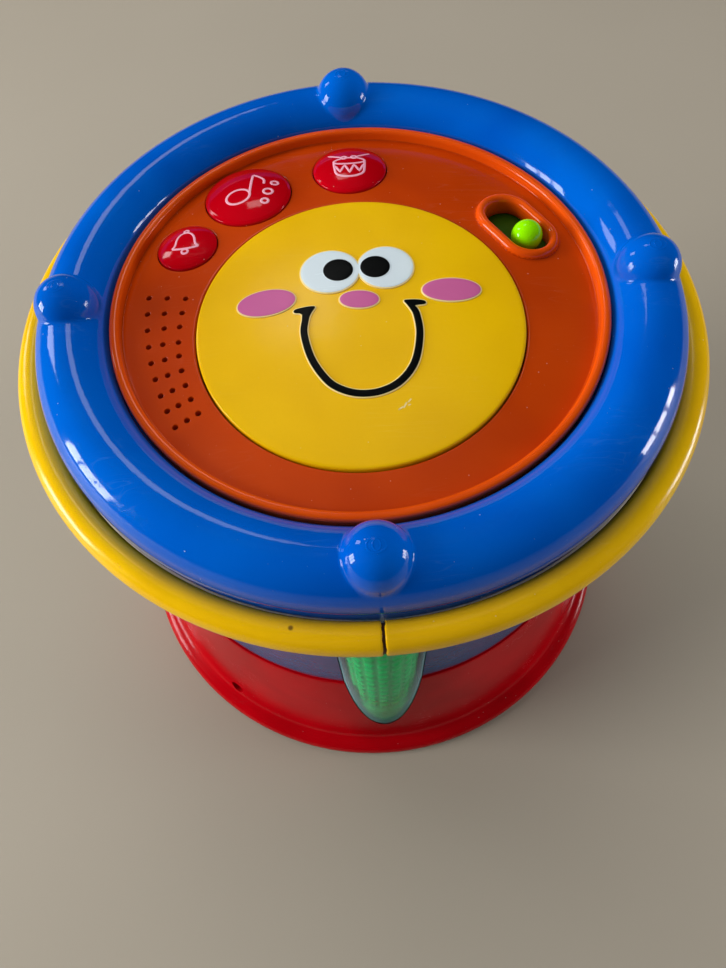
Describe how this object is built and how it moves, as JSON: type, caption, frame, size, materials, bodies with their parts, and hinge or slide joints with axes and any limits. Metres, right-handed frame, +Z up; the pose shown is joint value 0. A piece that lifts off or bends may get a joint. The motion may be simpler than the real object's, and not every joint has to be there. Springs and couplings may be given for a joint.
{
  "type": "electronic drum pad",
  "caption": "Round toy drum with a flared base, light columns, a ball-studded rim and a sprung smiling face pad, push buttons and a slide switch.",
  "frame": {"origin": "On the drum's axis, on the surface that it stands on.", "axes": "+Z up along the axis of the drum; -Y is the front, towards the chin of the face; +X is the side with the slide switch."},
  "size_m": [0.2488, 0.2488, 0.2113],
  "materials": {
    "red_plastic": "glossy moulded ABS",
    "blue_plastic": "glossy moulded ABS",
    "bumper_yellow": "satin soft vinyl",
    "orange_plastic": "glossy moulded ABS",
    "yellow_plastic": "glossy moulded ABS with printed and raised face",
    "button_red": "high-gloss moulded ABS with printed icons",
    "lime_plastic": "high-gloss moulded plastic",
    "green_translucent": "translucent ribbed polystyrene",
    "clear_cover": "clear polished polystyrene",
    "black_plastic": "matte moulded plastic",
    "steel": "nickel-plated steel",
    "battery_case": "plain wrapped cell",
    "circuit_board": "solder-masked board",
    "magnet_ferrite": "sintered ferrite",
    "speaker_paper": "pressed paper pulp",
    "led_body": "cast epoxy lens"
  },
  "bodies": {
    "housing": {"base_shell": "red_plastic", "battery_door": "red_plastic", "body_shell": "blue_plastic", "top_ring": "blue_plastic", "bumper_ring": "bumper_yellow", "head_panel": "orange_plastic", "light_column_front": "green_translucent", "column_cover_front": "clear_cover", "led_board_front": "circuit_board", "led_front": "led_body", "light_column_right": "green_translucent", "column_cover_right": "clear_cover", "led_board_right": "circuit_board", "led_right": "led_body", "light_column_back": "green_translucent", "column_cover_back": "clear_cover", "led_board_back": "circuit_board", "led_back": "led_body", "light_column_left": "green_translucent", "column_cover_left": "clear_cover", "led_board_left": "circuit_board", "led_left": "led_body", "battery_box": "black_plastic", "pad_switch": "black_plastic", "big_button_switch": "black_plastic", "medium_button_switch": "black_plastic", "small_button_switch": "black_plastic", "battery_door_screw": "steel", "battery_contact_left": "steel", "battery_contact_right": "steel", "slide_switch": "steel", "speaker_basket": "steel", "housing_screw_1": "steel", "housing_screw_2": "steel", "housing_screw_3": "steel", "housing_screw_4": "steel", "pad_spring_1": "steel", "pad_spring_2": "steel", "pad_spring_3": "steel", "battery_1": "battery_case", "battery_2": "battery_case", "battery_3": "battery_case", "main_board": "circuit_board", "speaker_magnet": "magnet_ferrite", "speaker_cone": "speaker_paper"},
    "pad": {"face_pad": "yellow_plastic"},
    "big_button_cap": {"big_button": "button_red"},
    "medium_button_cap": {"medium_button": "button_red"},
    "small_button_cap": {"small_button": "button_red"},
    "slider": {"slider_knob": "lime_plastic"}
  },
  "joints": [
    {"name": "pad_press", "type": "slide", "parent": "housing", "child": "pad", "axis": [0, 0, -1], "range_m": [0, 0.002], "stiffness_N_per_m": 1500, "springref_m": -0.0015, "deforming": ["pad_spring_1", "pad_spring_2", "pad_spring_3"]},
    {"name": "big_button_press", "type": "slide", "parent": "housing", "child": "big_button_cap", "axis": [0, 0, -1], "range_m": [0, 0.0016], "stiffness_N_per_m": 800, "springref_m": -0.001},
    {"name": "medium_button_press", "type": "slide", "parent": "housing", "child": "medium_button_cap", "axis": [0, 0, -1], "range_m": [0, 0.0016], "stiffness_N_per_m": 800, "springref_m": -0.001},
    {"name": "small_button_press", "type": "slide", "parent": "housing", "child": "small_button_cap", "axis": [0, 0, -1], "range_m": [0, 0.0016], "stiffness_N_per_m": 800, "springref_m": -0.001},
    {"name": "volume_slide", "type": "slide", "parent": "housing", "child": "slider", "axis": [-0.5284, 0.849, 0], "range_m": [0, 0.0104]}
  ]
}
